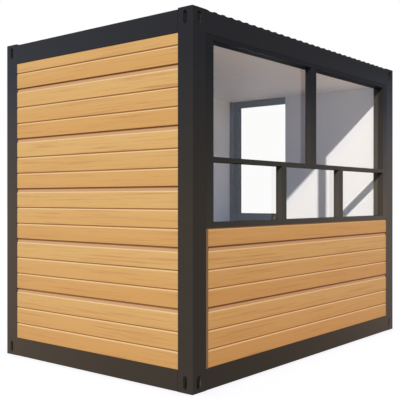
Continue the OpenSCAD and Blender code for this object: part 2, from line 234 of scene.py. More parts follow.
world = bpy.data.worlds.new("surround")
bpy.context.scene.world = world
world.use_nodes = True
world.node_tree.nodes.clear()
start = Wire(world.node_tree)
light = {"Color": SURROUND_COLOUR, "Strength": SURROUND_LIGHT}
lighting = start.node("Background", inputs=light)
white = start.node("Background", inputs={"Color": WHITE, "Strength": 1.0})
surround = start.node("MixShader", inputs={0: seen_directly(start), 1: lighting, 2: white})
start.node("OutputWorld", inputs={"Surface": surround})

sun_turn = Vector(SUN_TRAVEL).to_track_quat("-Z", "Y").to_euler()
bpy.ops.object.light_add(type="SUN", rotation=sun_turn)
sun = bpy.context.object.data
sun.energy = SUN_POWER
sun.angle = math.radians(SUN_ANGLE)
sun.color = SUN_COLOUR

bpy.ops.mesh.primitive_plane_add(size=FLOOR_SIZE, location=(0, 0, -FLOOR_DROP))
floor = bpy.context.object
floor.name = "studio_floor"
floor_paint, start = new_material("studio_floor")
matt = start.node("BsdfDiffuse", inputs={"Color": FLOOR_COLOUR})
bright = start.node("BsdfDiffuse", inputs={"Color": FLOOR_SEEN_COLOUR})
lift = start.node("Emission", inputs={"Color": WHITE, "Strength": FLOOR_LIFT})
bright = start.node("AddShader", inputs={0: bright, 1: lift})
seen_floor = start.node("MixShader", inputs={0: seen_directly(start), 1: matt, 2: bright})
start.node("OutputMaterial", inputs={"Surface": seen_floor})
floor.data.materials.append(floor_paint)


# Steel frame ----------------------------------------------------------------------
# Four posts of folded steel plate stand between cast corner fittings, tied by rails
# top and bottom. It is welded, ground flush and sprayed in satin near-black paint, whose
# colour holds painted light: a bluish sky reflection on top, floor bounce with some dust
# towards the ground, and a sheen towards the far corners.
# Bluish at the top, a painted sky reflection; warmer and paler at the foot, painted floor
# bounce with some dust; paler again far off, a painted sheen
PAINT_TOP = (0.0217, 0.0231, 0.0278, 1)
PAINT_FOOT = (0.0385, 0.0340, 0.0290, 1)
FAR_FOOT = (0.064, 0.051, 0.038, 1)
# Colours of a painted sheen, warm low down and bluish higher up
SHEEN_LOW = (0.134, 0.114, 0.101, 1)
SHEEN_HIGH = (0.118, 0.142, 0.200, 1)
PAINT_ROUGHNESS = 0.42
PAINT_SHINE = 0.012
# Painted floor bounce with some dust, full up to one height and gone at another, and a painted
# sheen far off
BOUNCE_AND_DUST_FULL = 1.2
BOUNCE_AND_DUST_END = 2.2
FAR_SHEEN_REACH = 3.0
BOUNCE_AND_DUST_CLOUD_SCALE = 1.7
BOUNCE_AND_DUST_UNEVENNESS = 0.3
DUST_ROUGHNESS = 0.06
# A painted sheen towards the far corners, most at about a metre up
FAR_SHEEN = 0.028
SHEEN_HEIGHT = 1.0
SHEEN_MOST = 0.8
SHEEN_SPREAD = 0.375
# A bluish painted sheen on the top of the frame, more with every metre back from the window
TOP_SHEEN = 0.045
TOP_SHEEN_START = 1.4
# The sprayed skin is unevenly glossy, and fine orange peel covers it
GLOSS_SCALE = 60.0
GLOSS_SWING = 0.08
PEEL_SCALE = 420.0
PEEL_DEPTH = 0.0002
PEEL_STRENGTH = 0.35

# The cabin's corner by the front left post, and the one farthest from it
near_x, near_y, _ = cad_box[0]
far_x, far_y, far_z = cad_box[1]


def placed_material(name):
    """An empty material, and the place on the cabin that its node tree starts from."""
    made, start = new_material(name)
    return made, start.node("TexCoord", output="Object")


def steel_paint(name, top, foot, far_foot=FAR_FOOT, roughness=PAINT_ROUGHNESS,
                sheen_amount=FAR_SHEEN, over=None):
    """Sprayed satin paint with painted light in its colour: paler and warmer towards the
    ground, painted floor bounce with some dust, and painted sheen. over() lays more on it.
    """
    made, place = placed_material(name)
    x, y, height = place.axes()
    cloud = place.noise(BOUNCE_AND_DUST_CLOUD_SCALE, detail=4.0)
    dust_and_bounce = ((BOUNCE_AND_DUST_END - height) / (BOUNCE_AND_DUST_END - BOUNCE_AND_DUST_FULL) + cloud.swing(BOUNCE_AND_DUST_UNEVENNESS)).held()
    from_near_corner = (x - near_x) + (y - near_y)
    # Paler and warmer towards the ground, more so far from the near corner: painted floor
    # bounce with some dust, and painted sheen
    colour = dust_and_bounce.blend(top, (from_near_corner / FAR_SHEEN_REACH).held().blend(foot, far_foot))
    # A painted sheen towards the far corners
    level = height - SHEEN_HEIGHT
    sheen = from_near_corner * from_near_corner * from_near_corner * (SHEEN_MOST - level * level * SHEEN_SPREAD) * sheen_amount
    sheen_colour = (level / (BOUNCE_AND_DUST_END - SHEEN_HEIGHT)).held().blend(SHEEN_LOW, SHEEN_HIGH)
    # A bluish painted sheen on top, growing towards the back
    top_sheen = (height - TOP_SHEEN_START).held() * (y - near_y) * TOP_SHEEN
    colour = (sheen + top_sheen).held().blend(colour, sheen_colour)
    if over:
        colour = over(place, colour)
    uneven = place.noise(GLOSS_SCALE).swing(GLOSS_SWING)
    place.surface({
        "Base Color": colour,
        "Roughness": roughness + dust_and_bounce * DUST_ROUGHNESS + uneven,
        "Specular IOR Level": PAINT_SHINE,
        "Normal": place.noise(PEEL_SCALE, detail=2.0).bump(PEEL_DEPTH, PEEL_STRENGTH),
    })
    return made


def finish_nodes(material, *names):
    """Gives CAD nodes their finish."""
    for name in names:
        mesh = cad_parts[name].data
        mesh.materials.clear()
        mesh.materials.append(material)


def nodes_named(*starts):
    """The CAD nodes whose names start in one of these ways."""
    return [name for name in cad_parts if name.startswith(starts)]


frame_paint = steel_paint("frame_paint", PAINT_TOP, PAINT_FOOT)
finish_nodes(frame_paint, *nodes_named("bottom_rail_", "top_rail_", "post_"))


# Corner fittings ------------------------------------------------------------------
# Cast steel boxes with a lifting slot in each outer face, welded to the posts' ends.
# Outside they are sprayed with the frame, and inside they keep their grey primer. All but
# the front left ones have a painted web across the inside, from the outer corner inwards.
PRIMER = (0.22, 0.215, 0.205, 1)
PRIMER_DUST = (0.16, 0.14, 0.115, 1)
PRIMER_DUST_SCALE = 24.0
FITTING_WALL = 0.016
# The frame's paint reaches into the slots, almost to the inner face of the walls
PAINT_REACH = FITTING_WALL - 0.0005
WEB_THICKNESS = 0.006
WEB_HOLD = 0.003
WEB_BEVEL = 0.001
WEB_ROUGHNESS = 0.50


def primed_inside(place, paint):
    """Paint outside, and dusty primer wherever a fitting is hollow."""
    x, y, z = place.axes()
    inside = (abs(x) < far_x - PAINT_REACH) * (abs(y) < far_y - PAINT_REACH)
    inside = inside * (z > PAINT_REACH) * (z < far_z - PAINT_REACH)
    dust = place.noise(PRIMER_DUST_SCALE, detail=4.0).past(start=0.35, gain=2.5)
    return inside.blend(paint, dust.blend(PRIMER, PRIMER_DUST))


fitting_paint = steel_paint("fitting_paint", PAINT_TOP, PAINT_FOOT, over=primed_inside)
finish_nodes(fitting_paint, *nodes_named("fitting_"))


def add_box(name, low, high):
    """A cube primitive drawn from one corner to the other, alone in the selection."""
    bpy.ops.object.select_all(action="DESELECT")
    low, high = Vector(low), Vector(high)
    bpy.ops.mesh.primitive_cube_add(size=1, location=(low + high) / 2, scale=high - low)
    bpy.ops.object.transform_apply()
    made = bpy.context.object
    made.name = name
    return made


def use_modifier(made, kind, **settings):
    """Adds a modifier to a piece and applies it."""
    bpy.context.view_layer.objects.active = made
    bpy.ops.object.modifier_add(type=kind)
    modifier = made.modifiers[-1]
    for name, value in settings.items():
        setattr(modifier, name, value)
    bpy.ops.object.modifier_apply(modifier=modifier.name)


def round_edges(made, width, segments=2, angle=30):
    """Rounds the edges that turn by more than an angle in degrees."""
    use_modifier(made, "BEVEL", width=width, segments=segments, limit_method="ANGLE",
                 angle_limit=math.radians(angle), harden_normals=False)


def join(name, parts):
    """Joins parts into one piece."""
    bpy.ops.object.select_all(action="DESELECT")
    for part in parts:
        part.select_set(True)
    bpy.context.view_layer.objects.active = parts[0]
    if len(parts) > 1:
        bpy.ops.object.join()
    made = bpy.context.object
    made.name = name
    return made


def settle(made, material, body, slot, *stands_for):
    """Gives a finished piece its material and body, and hides the CAD nodes that it replaces.
    The slot is not used.
    """
    made.data.materials.clear()
    made.data.materials.append(material)
    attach(made, body)
    if stands_for:
        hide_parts(*stands_for)


def place_piece(made, location, turn=0.0, tip=0.0):
    """Puts a piece in its place, tipped about Y and turned about Z, all taken into its mesh."""
    bpy.ops.object.select_all(action="DESELECT")
    made.select_set(True)
    bpy.context.view_layer.objects.active = made
    made.location = location
    made.rotation_euler = (0, math.radians(tip), math.radians(turn))
    bpy.ops.object.transform_apply()


webs = []
for name in nodes_named("fitting_"):
    if name.endswith("front_left"):
        continue
    low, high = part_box(name)
    middle = (low + high) / 2
    room = (high - low) / 2 - Vector((FITTING_WALL,) * 3)
    reach = math.hypot(room.x, room.y) + WEB_HOLD
    size = Vector((reach, WEB_THICKNESS / 2, room.z + WEB_HOLD))
    web = add_box("web", -size, size)
    round_edges(web, WEB_BEVEL)
    outwards = (math.copysign(room.x, middle.x), math.copysign(room.y, middle.y))
    place_piece(web, middle, math.degrees(math.atan2(outwards[1], outwards[0])))
    webs.append(web)
web_paint = steel_paint("web_paint", PAINT_TOP, PAINT_TOP, PAINT_TOP, WEB_ROUGHNESS,
                        sheen_amount=0)
settle(join("fitting_webs", webs), web_paint, "cabin", "frame_steel")


# Floor ----------------------------------------------------------------------------
# Box-section joists cross the frame, and carry tongued floor boards laid lengthwise.
# The boards are cut back round the four bottom corner fittings.
finish_nodes(frame_paint, "floor_joists")
BOARD_ROWS = 12
BOARD_GAP = 0.0004
BOARD_BEVEL = 0.0012
# Where each row's two end joints fall, as shares of the floor's length
ROW_JOINTS = [(0.22, 0.64), (0.43, 0.85), (0.12, 0.54), (0.33, 0.75)]
# Room that is cut for a corner fitting beyond its faces
FITTING_ROOM = Vector((0.0002, 0.0002, 0.05))
FLOOR_LIGHT = (0.36, 0.335, 0.315, 1)
FLOOR_DARK = (0.235, 0.215, 0.205, 1)
# Grain is drawn out along the boards, and starts elsewhere in each row
ROW_SHIFT = 3.7
FLOOR_RING_SCALES = (1.6, 26.0, 26.0)
FLOOR_PORE_SCALES = (14.0, 420.0, 420.0)
RING_START = 0.32
RING_SWING = 1.7
PORE_SWING = 0.35
ROW_TONE_SWING = 0.3
RING_RELIEF = 0.5
FLOOR_PORE_RELIEF = 0.5

low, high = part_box("floor_deck")
row_width = (high.y - low.y) / BOARD_ROWS
boards = []
for row in range(BOARD_ROWS):
    ends = [0, *ROW_JOINTS[row % len(ROW_JOINTS)], 1]
    for left, right in zip(ends, ends[1:]):
        start_x = low.x + left * (high.x - low.x) + BOARD_GAP / 2 * (left > 0)
        end_x = low.x + right * (high.x - low.x) - BOARD_GAP / 2 * (right < 1)
        start_y = low.y + row * row_width + BOARD_GAP / 2 * (row > 0)
        end_y = low.y + (row + 1) * row_width - BOARD_GAP / 2 * (row < BOARD_ROWS - 1)
        board = add_box("board", (start_x, start_y, low.z), (end_x, end_y, high.z))
        round_edges(board, BOARD_BEVEL)
        boards.append(board)
floor_boards = join("floor_boards", boards)


def cut_away(made, cutter):
    """Takes a cutter's shape out of a piece. The cutter goes."""
    use_modifier(made, "BOOLEAN", object=cutter, operation="DIFFERENCE", solver="EXACT")
    bpy.data.objects.remove(cutter)


cutters = []
for name in nodes_named("fitting_bottom_"):
    near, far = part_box(name)
    cutters.append(add_box("cutter", near - FITTING_ROOM, far + FITTING_ROOM))
cut_away(floor_boards, join("cutter", cutters))

floor_wood, place = placed_material("floor_wood")
x, y, z = place.axes()
row_number = ((y - low.y) / row_width).floor()
grain_place = place.vector(x + row_number * ROW_SHIFT, y, z)
rings = grain_place.grain(FLOOR_RING_SCALES, detail=6.0, roughness=0.62)
pores = grain_place.grain(FLOOR_PORE_SCALES, detail=2.0)
shade = (rings - RING_START) * RING_SWING + pores.swing(PORE_SWING)
shade = (shade + row_number.tone().swing(ROW_TONE_SWING)).held()
relief = rings * RING_RELIEF + pores * FLOOR_PORE_RELIEF
place.surface({
    "Base Color": shade.blend(FLOOR_LIGHT, FLOOR_DARK),
    "Roughness": pores.between(0.42, 0.58),
    "Normal": relief.bump(depth=0.0004, strength=0.4),
})
settle(floor_boards, floor_wood, "cabin", "floor_boards", "floor_deck")


# Walls and ceiling ----------------------------------------------------------------
# Foam-filled cores stand between the posts and rails, lined with white boards inside.
# The ceiling is of the same boards, laid lengthwise with fine joints between them.
CORE_COLOUR = (0.76, 0.73, 0.64, 1)
CORE_CELL_WALLS = (0.66, 0.63, 0.55, 1)
CORE_CELL_SCALE = 260.0
# The wall boards are bluish: painted shade
LINING_COLOUR = (0.805, 0.835, 0.975, 1)
LINING_SHADE = (0.770, 0.805, 0.950, 1)
# A lighter copy of the wall board for the back wall: painted light
BACK_LIT_COLOUR = (0.930, 0.940, 0.985, 1)
BACK_LIT_SHADE = (0.900, 0.915, 0.975, 1)
# Where the sun comes in, below a line that falls from the window's head as it goes back,
# the white is painted warmer: painted sunlight
SUN_PATCH_COLOUR = (0.895, 0.880, 0.890, 1)
SUN_PATCH_HEIGHT = 2.31
SUN_PATCH_FALL = 0.93
SUN_PATCH_BLUR = 0.30
# The ceiling boards are pinkish: painted warm bounce light
CEILING_COLOUR = (0.985, 0.92, 0.965, 1)
CEILING_SHADE = (0.97, 0.90, 0.95, 1)
LINING_CLOUD_SCALE = 2.3
LINING_ROUGHNESS = 0.55
LINING_SHINE = 0.3
STIPPLE_SCALE = 900.0
STIPPLE_ROUGHNESS = 0.12

core_foam, place = placed_material("core_foam")
cells = place.cells(CORE_CELL_SCALE)
place.surface({
    "Base Color": cells.held().blend(CORE_COLOUR, CORE_CELL_WALLS),
    "Roughness": cells.between(0.9, 0.8),
    "Normal": cells.bump(depth=0.001, strength=0.5),
})
finish_nodes(core_foam, *[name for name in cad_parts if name.endswith("_wall_core")])


def lining_board(name, colour, shade, sun_patch=None):
    """Factory-coated board: matt, nearly even, with a fine stipple, and a painted sun patch
    where its colour is given.
    """
    made, place = placed_material(name)
    cloud = place.noise(LINING_CLOUD_SCALE).past(start=0.35, gain=2.2)
    stipple = place.noise(STIPPLE_SCALE, detail=2.0)
    colour = cloud.blend(colour, shade)
    if sun_patch:
        _, y, height = place.axes()
        # A painted sun patch below a line that falls back from the window's head
        line = SUN_PATCH_HEIGHT - (y - near_y) * SUN_PATCH_FALL
        colour = ((line - height) / SUN_PATCH_BLUR + 0.5).held().blend(colour, sun_patch)
    place.surface({
        "Base Color": colour,
        "Roughness": LINING_ROUGHNESS + stipple.swing(STIPPLE_ROUGHNESS),
        "Specular IOR Level": LINING_SHINE,
        "Normal": stipple.bump(depth=0.0001, strength=0.4),
    })
    return made


wall_board = lining_board("wall_board", LINING_COLOUR, LINING_SHADE, SUN_PATCH_COLOUR)
finish_nodes(wall_board, "front_wall_lining", "right_wall_lining", "left_wall_lining")
finish_nodes(lining_board("back_lit_board", BACK_LIT_COLOUR, BACK_LIT_SHADE), "back_wall_lining")
finish_nodes(lining_board("ceiling_board", CEILING_COLOUR, CEILING_SHADE), "ceiling_panel")


# Siding ---------------------------------------------------------------------------
# Each wall is clad in horizontal panels, pressed as three boards with V-grooves between
# them and a sunk strip and a slot where the next panel hooks on. The timber look is
# printed and embossed: honey coloured, with a straight fine grain along the boards.
PANEL_PITCH = 0.400
PANEL_THICKNESS = 0.016
BOARD_PITCH = 0.127
BOARDS = 3
GROOVE_HALF = 0.009
GROOVE_DEPTH = 0.006
SLOT_HEIGHT = 0.009
SLOT_DEPTH = 0.013
FOOT_BEVEL = 0.004
PANEL_GAP = 0.0002
ARRIS = 0.0010
ARRIS_ANGLE = 20
# Heights in a panel where its sunk strip and its slot start
STRIP_FOOT = BOARDS * BOARD_PITCH - GROOVE_HALF
SLOT_FOOT = PANEL_PITCH - SLOT_HEIGHT
# Each clad wall's turn from the one that faces -Y
CLAD_WALLS = {
    "front_wall_siding": 0,
    "right_wall_siding": 90,
    "back_wall_siding": 180,
    "left_wall_siding": -90,
}
# An outline starts as a plane of this size, merged into one point
DOT = 0.001


def trace(name, points):
    """An outline drawn vertex by vertex, closed and filled, left in edit mode."""
    bpy.ops.object.select_all(action="DESELECT")
    bpy.ops.mesh.primitive_plane_add(size=DOT, location=points[0])
    made = bpy.context.object
    made.name = name
    bpy.ops.object.mode_set(mode="EDIT")
    bpy.ops.mesh.select_mode(type="VERT")
    bpy.ops.mesh.merge(type="CENTER")
    for here, there in zip(points, points[1:]):
        step = Vector(there) - Vector(here)
        bpy.ops.mesh.extrude_region_move(TRANSFORM_OT_translate={"value": step})
    bpy.ops.mesh.select_all(action="SELECT")
    bpy.ops.mesh.edge_face_add()
    return made


def sweep(move):
    """Draws the selected face out into a solid, faces outwards, and leaves edit mode."""
    bpy.ops.mesh.extrude_region_move(TRANSFORM_OT_translate={"value": move})
    bpy.ops.mesh.select_all(action="SELECT")
    bpy.ops.mesh.normals_make_consistent(inside=False)
    bpy.ops.object.mode_set(mode="OBJECT")


def cut_level(height, side):
    """Cuts the active piece at a height, and drops what is above, 1, or below, -1."""
    bpy.ops.object.mode_set(mode="EDIT")
    bpy.ops.mesh.select_all(action="SELECT")
    bpy.ops.mesh.bisect(plane_co=(0, 0, height), plane_no=(0, 0, side),
                        clear_outer=True, use_fill=True)
    bpy.ops.object.mode_set(mode="OBJECT")


def siding_outline():
    """(depth, height) points up a panel's face from its foot, then down its back."""
    face = [(FOOT_BEVEL, 0), (0, FOOT_BEVEL)]
    for board in range(1, BOARDS):
        middle = board * BOARD_PITCH - GROOVE_HALF
        face += [(0, middle - GROOVE_HALF), (GROOVE_DEPTH, middle), (0, middle + GROOVE_HALF)]
    top = PANEL_PITCH - PANEL_GAP
    face += [(0, STRIP_FOOT - GROOVE_HALF), (GROOVE_DEPTH, STRIP_FOOT)]
    face += [(GROOVE_DEPTH, SLOT_FOOT), (SLOT_DEPTH, SLOT_FOOT), (SLOT_DEPTH, top)]
    return face + [(PANEL_THICKNESS, top), (PANEL_THICKNESS, 0)]


def wall_base(node, turn):
    """The middle of the foot of a wall's outer face, and half of the wall's length."""
    low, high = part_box(node)
    size, middle = high - low, (low + high) / 2
    outward = Vector((math.sin(math.radians(turn)), -math.cos(math.radians(turn))))
    base = (middle.x + outward.x * size.x / 2, middle.y + outward.y * size.y / 2, low.z)
    return base, (size.x if turn % 180 == 0 else size.y) / 2


def siding(node, turn):
    """A wall's stack of panels, the top one cut to the wall's height."""
    low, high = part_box(node)
    height = high.z - low.z
    base, half = wall_base(node, turn)
    outline = [(-half, depth, rise) for depth, rise in siding_outline()]
    made = trace(node.replace("siding", "boards"), outline)
    sweep((2 * half, 0, 0))
    bpy.ops.object.transform_apply()
    round_edges(made, ARRIS, angle=ARRIS_ANGLE)
    use_modifier(made, "ARRAY", count=math.ceil(height / PANEL_PITCH),
                 use_relative_offset=False, use_constant_offset=True,
                 constant_offset_displace=(0, 0, PANEL_PITCH))
    cut_level(height, 1)
    place_piece(made, base, turn)
    return made


TIMBER_FOOT = (0.572, 0.308, 0.096, 1)
TIMBER_HEAD = (0.625, 0.384, 0.138, 1)
TIMBER_STREAK = (0.43, 0.205, 0.065, 1)
TIMBER_FLECK = (0.55, 0.30, 0.13, 1)
# Painted shade: the sunk strip is darker
STRIP_SHADE_COLOUR = (0.525, 0.298, 0.148, 1)
# Painted highlight on the groove's flank that faces up
LIP_HIGHLIGHT = (0.78, 0.53, 0.27, 1)
# Painted shade on the faces that face down
UNDER_SHADE = (0.245, 0.098, 0.020, 1)
SLOT_COLOUR = (0.285, 0.132, 0.040, 1)
LIP_HIGHLIGHT_SHARE = 0.75
UNDER_SHADE_SHARE = 0.9
# The print's grain runs along the boards. Each board starts elsewhere in it, along and
# across, and has its own tone
BOARD_SHIFT = (2.37, 0.73)
BROAD_SCALES = (0.9, 1.0, 9.0)
STREAK_SCALES = (1.5, 1.0, 75.0)
FLECK_SCALES = (7.0, 1.0, 210.0)
PORE_SCALES = (30.0, 1.0, 900.0)
BROAD_SWING = 0.9
BOARD_TONE_SWING = 0.22
STREAK_RELIEF = 0.45
FLECK_RELIEF = 0.35
PORE_RELIEF = 0.2
# It darkens towards the ground, from this height down
SPLASH_HEIGHT = 1.1
SPLASH_GAIN = 0.25
# The strip's and the slot's colours start a little under their edges
STRIP_LAP = 0.001
SLOT_LAP = 0.0008
TIMBER_SHINE = 0.35
# The boards under the window are painted redder and lighter, the others darker: painted light
# for how the sun falls on each wall
WINDOW_WALL_LIGHTING = (1.06, 1.00, 0.93)
OTHER_WALLS_LIGHTING = (0.895, 0.935, 0.985)

timber, place = placed_material("timber_print")
x, y, z = place.axes()
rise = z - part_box("left_wall_siding")[0].z
panel = (rise / PANEL_PITCH).floor()
in_panel = rise - panel * PANEL_PITCH
board = ((in_panel + GROOVE_HALF) / BOARD_PITCH).floor()
in_board = in_panel + GROOVE_HALF - board * BOARD_PITCH
number = panel * BOARDS + board
along = x + y + number * BOARD_SHIFT[0]
grain_place = place.vector(along, number * BOARD_SHIFT[1], rise)
broad = grain_place.grain(BROAD_SCALES)
streaks = grain_place.grain(STREAK_SCALES, detail=5.0, roughness=0.65)
flecks = grain_place.grain(FLECK_SCALES, roughness=0.6)
pores = grain_place.grain(PORE_SCALES, detail=2.0)
lightness = in_panel / STRIP_FOOT + (number + 0.5).tone().swing(BOARD_TONE_SWING)
lightness = (lightness + broad.swing(BROAD_SWING)).held()
colour = lightness.blend(TIMBER_FOOT, TIMBER_HEAD)
colour = streaks.past(start=0.515, gain=4.4).blend(colour, TIMBER_STREAK)
colour = flecks.past(start=0.565, gain=5.0).blend(colour, TIMBER_FLECK)
colour = ((SPLASH_HEIGHT - rise) * SPLASH_GAIN).held().blend(colour, TIMBER_STREAK)
# Painted highlight on the groove's lower flank, which faces up
lip_highlight = in_board > BOARD_PITCH - GROOVE_HALF
# Painted shade on the groove's upper flank and on each panel's foot, which face down
shaded_flank = (in_board < GROOVE_HALF) * (board > 0.5)
shaded_foot = (in_panel < FOOT_BEVEL) * (panel > 0.5)
colour = (lip_highlight * LIP_HIGHLIGHT_SHARE).blend(colour, LIP_HIGHLIGHT)
colour = (shaded_flank.most(shaded_foot) * UNDER_SHADE_SHARE).blend(colour, UNDER_SHADE)
# Painted shade in the sunk strip
colour = (in_panel > STRIP_FOOT - STRIP_LAP).blend(colour, STRIP_SHADE_COLOUR)
colour = (in_panel > SLOT_FOOT - SLOT_LAP).blend(colour, SLOT_COLOUR)
# Painted light: the window wall's boards lighter, the others darker
window_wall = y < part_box("front_wall_siding")[1].y
colour = window_wall.blend(colour.scaled(*OTHER_WALLS_LIGHTING), colour.scaled(*WINDOW_WALL_LIGHTING))
relief = streaks * STREAK_RELIEF + flecks * FLECK_RELIEF + pores * PORE_RELIEF
place.surface({
    "Base Color": colour,
    "Roughness": flecks.between(0.50, 0.62),
    "Specular IOR Level": TIMBER_SHINE,
    "Normal": relief.bump(depth=0.0006, strength=0.5),
})
for node, turn in CLAD_WALLS.items():
    settle(siding(node, turn), timber, "cabin", "siding", node)

# Dark sealant closes the joint between the boards' ends and the frame. Beside the front
# left post a brown strip and a wider dark bead are painted shadow, the post's shadow on the
# window wall's boards. Outlines are (distance from the wall's end, depth) points.
BEAD = [(0, 0), (0.0020, 0), (0.0008, -0.0008), (0, -0.0020)]
SHADOW_BEAD = [(0, 0), (0.0080, 0), (0.0062, -0.0016), (0, -0.0030)]
SHADOW_TRIM = [(0.0070, 0), (0.0268, 0), (0.0268, -0.0010), (0.0260, -0.0018), (0.0078, -0.0018),
        (0.0070, -0.0010)]
BEAD_COLOUR = (0.018, 0.014, 0.011, 1)
BEAD_WORN = (0.060, 0.042, 0.028, 1)
BEAD_SMEAR_SCALE = 9.0
BEAD_RIPPLE_SCALE = 60.0
BEAD_SHINE = 0.15
# Colours of the painted shadow strip beside the front left post
SHADOW_TRIM_COLOUR = (0.215, 0.122, 0.058, 1)
SHADOW_TRIM_SHADE = (0.170, 0.097, 0.048, 1)
TRIM_WEATHER_SCALE = 6.0
TRIM_SHINE = 0.2


def end_strip(node, turn, end, outline):
    """A strip up a wall beside one of its ends, -1 for its left and 1 for its right."""
    low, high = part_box(node)
    base, half = wall_base(node, turn)
    made = trace("strip", [(end * (half - along), depth, 0) for along, depth in outline])
    sweep((0, 0, high.z - low.z))
    bpy.ops.object.transform_apply()
    place_piece(made, base, turn)
    return made


sealant, place = placed_material("joint_sealant")
smear = place.noise(BEAD_SMEAR_SCALE, detail=4.0)
place.surface({
    "Base Color": smear.past(start=0.4, gain=2.5).blend(BEAD_COLOUR, BEAD_WORN),
    "Roughness": smear.between(0.45, 0.65),
    "Specular IOR Level": BEAD_SHINE,
    "Normal": place.noise(BEAD_RIPPLE_SCALE).bump(depth=0.0006, strength=0.4),
})

shadow_trim_coating, place = placed_material("shadow_trim_coating")
weather = place.noise(TRIM_WEATHER_SCALE, detail=4.0)
place.surface({
    "Base Color": weather.past(start=0.35, gain=2.5).blend(SHADOW_TRIM_COLOUR, SHADOW_TRIM_SHADE),
    "Roughness": weather.between(0.50, 0.60),
    "Specular IOR Level": TRIM_SHINE,
    "Normal": place.noise(PEEL_SCALE, detail=2.0).bump(PEEL_DEPTH, PEEL_STRENGTH),
})

beads = []
for node, turn in CLAD_WALLS.items():
    # The wider bead beside the front left post is painted shadow
    beads.append(end_strip(node, turn, -1, SHADOW_BEAD if turn == 0 else BEAD))
    beads.append(end_strip(node, turn, 1, BEAD))
settle(join("siding_sealant", beads), sealant, "cabin", "siding")
# Painted shadow: the brown strip beside the front left post
shadow_trim = end_strip("front_wall_siding", 0, -1, SHADOW_TRIM)
shadow_trim.name = "siding_end_shadow_trim"
settle(shadow_trim, shadow_trim_coating, "cabin", "siding")


# Roof -----------------------------------------------------------------------------
# Steel bows cross the frame over the ceiling. A coated corrugated sheet lies on them and
# on the rails, held by hexagonal screws with washers through its troughs. Along the long
# rails its edge is bedded in sealant, painted over with the frame.
ROOF_TOP = (0.020, 0.021, 0.024, 1)
ROOF_FOOT = (0.030, 0.031, 0.034, 1)
ROOF_ROUGHNESS = 0.5
# The roof's paint holds the same painted light as the frame's
roof_coating = steel_paint("roof_coating", ROOF_TOP, ROOF_FOOT, ROOF_FOOT, ROOF_ROUGHNESS)
finish_nodes(frame_paint, "roof_bows")
finish_nodes(roof_coating, "roof_sheet")

EDGE_SEAL_WIDTH = 0.011
EDGE_SEAL_HEIGHT = 0.0050
EDGE_SEAL_ROUND = 0.0018
EDGE_SEAL_GAP = 0.001
WAVE_PITCH = 0.091
SHEET_THICKNESS = 0.0015
EDGE_TO_SCREW = 0.030
WASHER_RADIUS = 0.0080
WASHER_THICKNESS = 0.0012
WASHER_SIDES = 20
SCREW_RADIUS = 0.0048
SCREW_HEIGHT = 0.0040
SCREW_SIDES = 6
# A turned rim is this wide, and falls by a share of its width
SCREW_RIM = 0.0005
RIM_FALL = 0.6
# Troughs that get a screw in each long rail, and troughs beside the bows that get three
# more, counted from the sheet's first
RAIL_TROUGHS = range(2, 32, 2)
BOW_TROUGHS = (4, 10, 23, 29)
BOW_ROWS = (-0.5, 0, 0.5)
# A face faces a way when its normal goes at least this far along it
FACING = 0.9
ZINC_COLOUR = (0.52, 0.53, 0.54, 1)
ZINC_GRIME = (0.30, 0.29, 0.27, 1)
SPANGLE_SCALE = 700.0
GRIME_SCALE = 90.0


def pick_faces(made, test):
    """Selects the faces whose normals pass a test, in edit mode."""
    bpy.ops.object.mode_set(mode="EDIT")
    bpy.ops.mesh.select_mode(type="FACE")
    bpy.ops.mesh.select_all(action="DESELECT")
    bpy.ops.object.mode_set(mode="OBJECT")
    for face in made.data.polygons:
        face.select = test(face.normal)
    bpy.ops.object.mode_set(mode="EDIT")


def turned_disc(name, radius, thickness, sides, rim, foot=0.0):
    """A short cylinder on its foot, its upper rim turned down, centred on the Z axis."""
    bpy.ops.object.select_all(action="DESELECT")
    fall = rim * RIM_FALL
    side = thickness - fall
    bpy.ops.mesh.primitive_cylinder_add(vertices=sides, radius=radius, depth=side,
                                        location=(0, 0, foot + side / 2))
    made = bpy.context.object
    made.name = name
    bpy.ops.object.transform_apply()
    pick_faces(made, lambda normal: normal.z > FACING)
    bpy.ops.mesh.inset(thickness=rim, depth=fall, use_individual=True)
    bpy.ops.object.mode_set(mode="OBJECT")
    return made


def copies(model, places):
    """Copies of a model, each with its own mesh, one at each place. The model goes."""
    made = []
    for place in places:
        bpy.ops.object.select_all(action="DESELECT")
        twin = model.copy()
        twin.data = model.data.copy()
        bpy.context.collection.objects.link(twin)
        place_piece(twin, place)
        made.append(twin)
    bpy.data.objects.remove(model)
    return made


low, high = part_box("roof_sheet")
waves = math.floor((high.x - low.x) / WAVE_PITCH)
first_trough = (low.x + high.x - waves * WAVE_PITCH) / 2
screw = join("screw", [
    turned_disc("washer", WASHER_RADIUS, WASHER_THICKNESS, WASHER_SIDES, SCREW_RIM),
    turned_disc("head", SCREW_RADIUS, SCREW_HEIGHT, SCREW_SIDES, SCREW_RIM, WASHER_THICKNESS),
])
rail_rows = (low.y + EDGE_TO_SCREW, high.y - EDGE_TO_SCREW)
screw_places = []
for troughs, rows in ((RAIL_TROUGHS, rail_rows), (BOW_TROUGHS, BOW_ROWS)):
    for trough in troughs:
        x = first_trough + trough * WAVE_PITCH
        screw_places += [(x, row, low.z + SHEET_THICKNESS) for row in rows]
roof_screws = join("roof_screws", copies(screw, screw_places))

seal_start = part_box("fitting_top_front_left")[1].x + EDGE_SEAL_GAP
seal_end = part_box("fitting_top_front_right")[0].x - EDGE_SEAL_GAP
edge_seals = []
for edge_y in (low.y, high.y - EDGE_SEAL_WIDTH):
    seal = add_box("seal", (seal_start, edge_y, low.z),
                   (seal_end, edge_y + EDGE_SEAL_WIDTH, low.z + EDGE_SEAL_HEIGHT))
    round_edges(seal, EDGE_SEAL_ROUND, segments=3)
    edge_seals.append(seal)
settle(join("roof_edge_seals", edge_seals), frame_paint, "cabin", "roof_steel")

